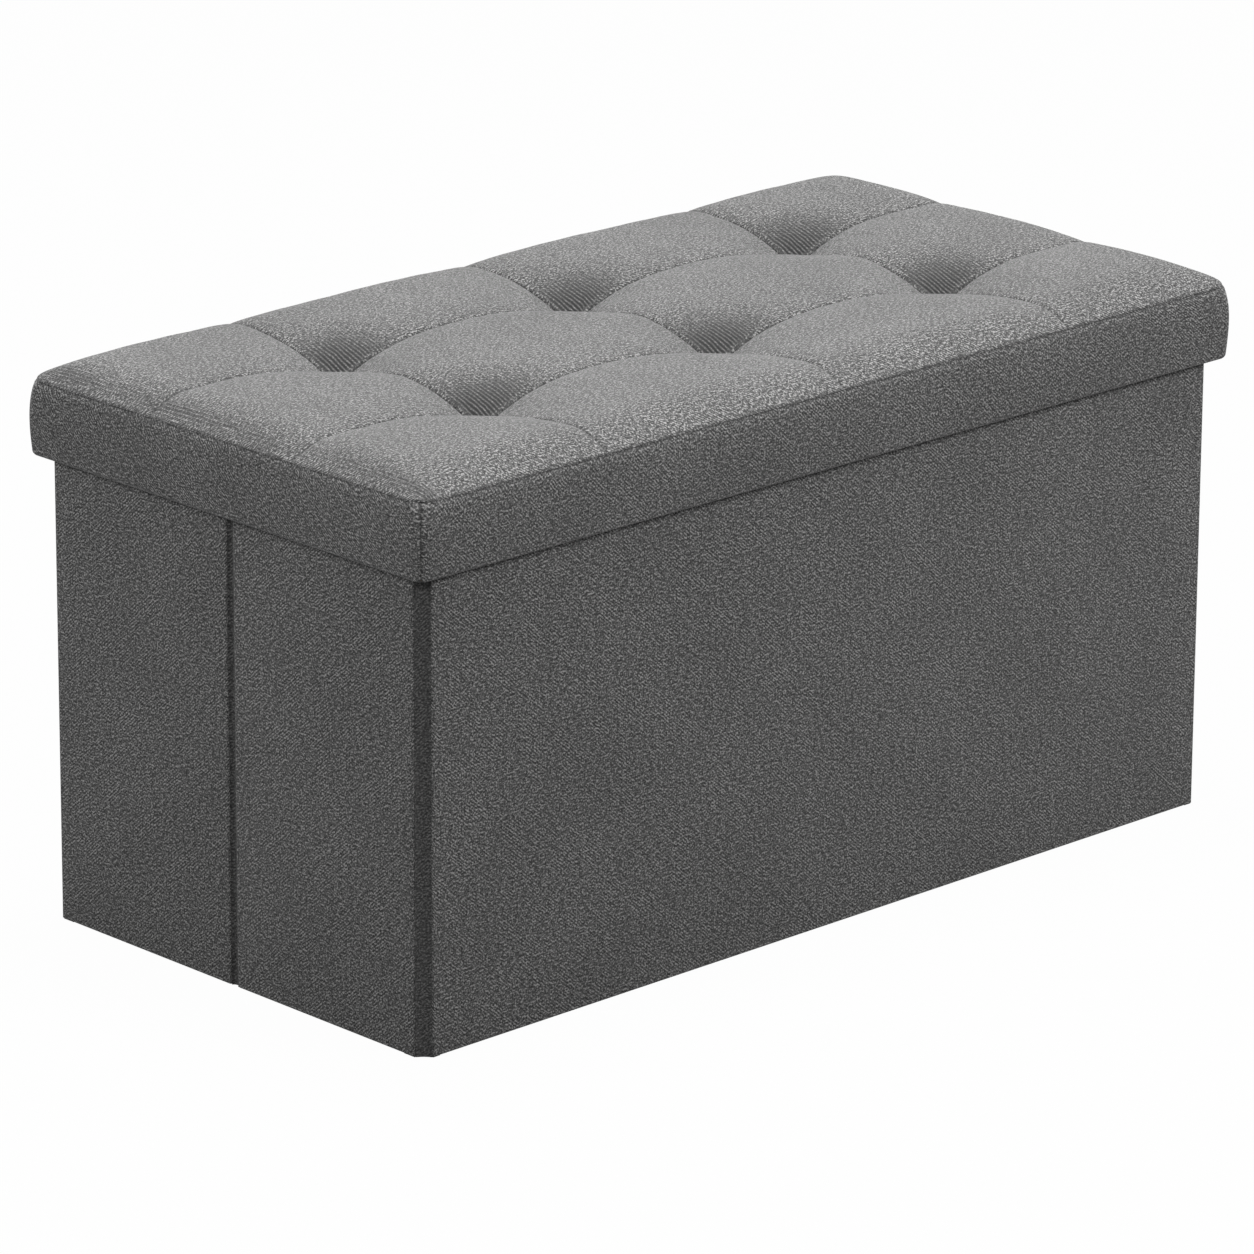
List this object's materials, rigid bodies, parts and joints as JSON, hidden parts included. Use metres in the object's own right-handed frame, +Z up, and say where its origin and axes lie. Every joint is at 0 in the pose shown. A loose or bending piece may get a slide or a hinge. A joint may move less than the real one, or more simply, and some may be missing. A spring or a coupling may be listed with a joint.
{
  "type": "folding storage bench",
  "caption": "Fabric-covered storage bench: board walls that fold inward at the ends, a hinged floor panel and a padded, blind-tufted lift-off lid.",
  "frame": {"origin": "on the ground, under the centre of the bench", "axes": "+X along the bench, +Y to the rear, +Z up"},
  "size_m": [0.76, 0.39, 0.393],
  "materials": {
    "cover_fabric": "charcoal grey melange twill",
    "fold_fabric": "the cover's twill, pressed in at the folds",
    "lining": "black non-woven lining",
    "board": "medium density fibreboard",
    "hardboard": "hardboard",
    "foam": "cut polyurethane foam",
    "twine": "waxed upholstery twine",
    "washer": "moulded",
    "staple_wire": "galvanised wire",
    "foot_rubber": "moulded"
  },
  "bodies": {
    "rear_wall": {"rear_wall_board": "board", "rear_wall_cover": "cover_fabric", "rear_wall_lining": "lining", "rear_wall_foot_pads": "foot_rubber", "floor_hinge_strip": "fold_fabric", "left_rear_corner_strip": "fold_fabric", "right_rear_corner_strip": "fold_fabric"},
    "front_wall": {"front_wall_board": "board", "front_wall_cover": "cover_fabric", "front_wall_lining": "lining", "front_wall_foot_pads": "foot_rubber", "left_front_corner_strip": "fold_fabric", "right_front_corner_strip": "fold_fabric"},
    "left_rear_half": {"left_rear_half_board": "board", "left_rear_half_cover": "cover_fabric", "left_rear_half_lining": "lining", "left_rear_half_foot_pad": "foot_rubber", "left_middle_fold_strip": "fold_fabric"},
    "left_front_half": {"left_front_half_board": "board", "left_front_half_cover": "cover_fabric", "left_front_half_lining": "lining", "left_front_half_foot_pad": "foot_rubber"},
    "right_rear_half": {"right_rear_half_board": "board", "right_rear_half_cover": "cover_fabric", "right_rear_half_lining": "lining", "right_rear_half_foot_pad": "foot_rubber", "right_middle_fold_strip": "fold_fabric"},
    "right_front_half": {"right_front_half_board": "board", "right_front_half_cover": "cover_fabric", "right_front_half_lining": "lining", "right_front_half_foot_pad": "foot_rubber"},
    "floor_panel": {"floor_board": "hardboard", "floor_lining": "lining"},
    "lid": {"lid_board": "board", "lid_front_rail": "board", "lid_rear_rail": "board", "lid_left_rail": "board", "lid_right_rail": "board", "lid_foam_pad": "foam", "lid_seat_cover": "cover_fabric", "lid_band_cover": "cover_fabric", "lid_lining": "lining", "lid_staples": "staple_wire", "tuft_twines": "twine", "tuft_washers": "washer"}
  },
  "joints": [
    {"name": "lid_lift", "type": "slide", "parent": "rear_wall", "child": "lid", "axis": [0, 0, 1], "range_m": [0, 0.3]},
    {"name": "floor_lift", "type": "hinge", "parent": "rear_wall", "child": "floor_panel", "pos_m": [0, 0.1753, 0.0013], "axis": [-1, 0, 0], "range_deg": [0, 90]},
    {"name": "left_rear_fold", "type": "hinge", "parent": "rear_wall", "child": "left_rear_half", "pos_m": [-0.3625, 0.173, 0.1755], "axis": [0, 0, 1], "range_deg": [0, 88]},
    {"name": "left_middle_fold", "type": "hinge", "parent": "left_rear_half", "child": "left_front_half", "pos_m": [-0.3708, 0, 0.1755], "axis": [0, 0, -1], "range_deg": [0, 176]},
    {"name": "left_front_fold", "type": "hinge", "parent": "left_front_half", "child": "front_wall", "pos_m": [-0.3625, -0.173, 0.1755], "axis": [0, 0, 1], "range_deg": [0, 88]},
    {"name": "right_rear_fold", "type": "hinge", "parent": "rear_wall", "child": "right_rear_half", "pos_m": [0.3625, 0.173, 0.1755], "axis": [0, 0, -1], "range_deg": [0, 88]},
    {"name": "right_middle_fold", "type": "hinge", "parent": "right_rear_half", "child": "right_front_half", "pos_m": [0.3708, 0, 0.1755], "axis": [0, 0, 1], "range_deg": [0, 176]}
  ],
  "couplings": [
    {"joint": "left_middle_fold", "follows": "left_rear_fold", "ratio": 2},
    {"joint": "left_front_fold", "follows": "left_rear_fold", "ratio": 1},
    {"joint": "right_rear_fold", "follows": "left_rear_fold", "ratio": 1},
    {"joint": "right_middle_fold", "follows": "left_rear_fold", "ratio": 2}
  ]
}
